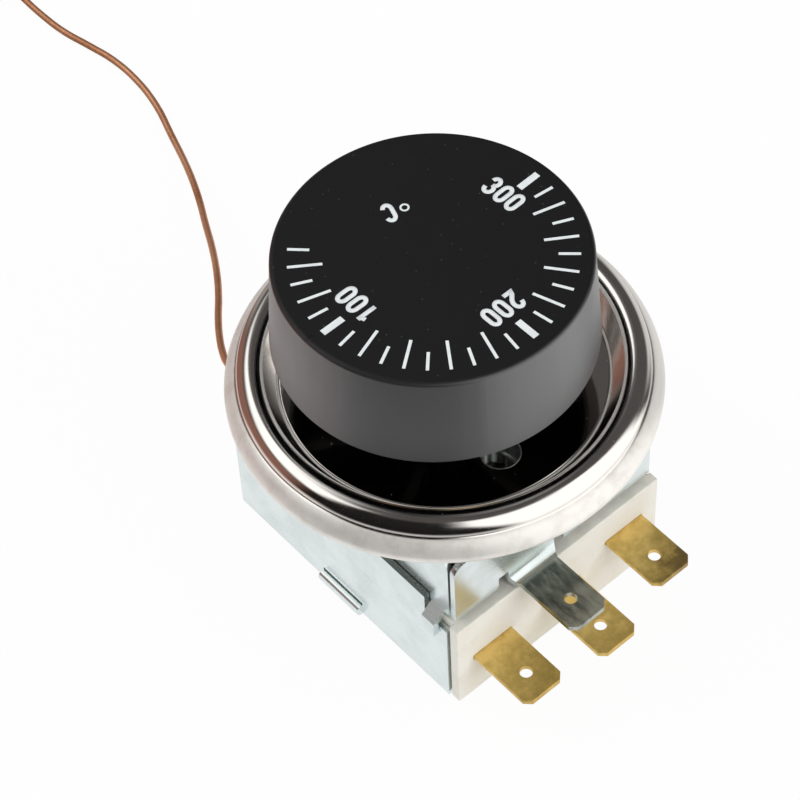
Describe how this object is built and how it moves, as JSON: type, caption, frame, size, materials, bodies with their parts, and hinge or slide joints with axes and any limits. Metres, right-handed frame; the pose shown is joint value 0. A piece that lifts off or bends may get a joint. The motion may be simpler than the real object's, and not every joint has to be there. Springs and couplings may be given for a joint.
{
  "type": "capillary thermostat",
  "caption": "Oven-type capillary thermostat with a dial knob, a nickel bezel, a boxed switch with quick-connect tabs and a copper sensing tube.",
  "frame": {"origin": "on the spindle axis, at the mounting face of the front frame, midway between the two fixing holes", "axes": "+Z along the spindle towards the knob, -Y towards the quick-connect tabs, +X to the side of the upper terminal"},
  "size_m": [0.0775, 0.1704, 0.0547],
  "materials": {
    "zinc_plate": "bright zinc plated steel sheet",
    "ceramic_body": "unglazed cream ceramic",
    "board": "brown laminate",
    "brass_tab": "tarnished brass",
    "contact_metal": "silver alloy",
    "spring_bronze": "bronze strip",
    "pin_ceramic": "smooth ceramic",
    "spring_steel": "spring steel",
    "bush_brass": "turned brass",
    "spindle_steel": "turned and pressed steel",
    "capsule_steel": "stainless sheet",
    "copper_tube": "drawn copper",
    "grommet_rubber": "black rubber",
    "bezel_nickel": "bright nickel plate",
    "disc_nickel": "flat bright nickel plate",
    "knob_black": "black moulded resin with a fine grain",
    "tie_steel": "thin steel strip",
    "copper_bulb": "drawn copper"
  },
  "bodies": {
    "housing": {"front_frame": "zinc_plate", "rear_cover": "zinc_plate", "terminal_block": "ceramic_body", "guide_board": "board", "common_terminal": "brass_tab", "lower_terminal": "brass_tab", "upper_terminal": "brass_tab", "upper_contact": "contact_metal", "lower_contact": "contact_metal", "spindle_bush": "bush_brass", "capillary_grommet": "grommet_rubber", "bezel_ring": "bezel_nickel", "bezel_disc": "disc_nickel", "capillary_tube": "copper_tube", "capillary_coil": "copper_tube", "capillary_tail": "copper_tube", "coil_tie": "tie_steel", "sensor_bulb": "copper_bulb"},
    "spindle": {"control_spindle": "spindle_steel", "stop_collar": "spindle_steel", "friction_washer": "spring_steel", "spindle_circlip": "spring_steel", "control_knob": "knob_black", "knob_clip": "spring_steel"},
    "capsule": {"capsule_carrier": "spindle_steel", "capsule_shell": "capsule_steel", "capsule_diaphragm": "capsule_steel", "capillary_stub": "copper_tube"},
    "pin": {"push_pin": "pin_ceramic", "pin_spring": "spring_steel"},
    "blade": {"snap_blade": "spring_bronze", "moving_contact": "contact_metal"}
  },
  "joints": [
    {"name": "knob_turn", "type": "hinge", "parent": "housing", "child": "spindle", "pos_m": [0, 0, 0], "axis": [0, 0, 1], "range_deg": [-235, 0]},
    {"name": "capsule_lift", "type": "slide", "parent": "housing", "child": "capsule", "axis": [0, 0, 1], "range_m": [0, 0.00065275]},
    {"name": "pin_push", "type": "slide", "parent": "housing", "child": "pin", "axis": [0, 0, 1], "range_m": [-0.00018, 0], "stiffness_N_per_m": 500, "springref_m": 0.0002, "deforming": ["pin_spring"]},
    {"name": "blade_tilt", "type": "hinge", "parent": "housing", "child": "blade", "pos_m": [-0.00845, 0, -0.02115], "axis": [0, 1, 0], "range_deg": [0, 1.25]}
  ],
  "couplings": [
    {"joint": "knob_turn", "follows": "capsule_lift", "rad_per_m": -6283.2},
    {"joint": "blade_tilt", "follows": "pin_push", "rad_per_m": -118.34}
  ]
}
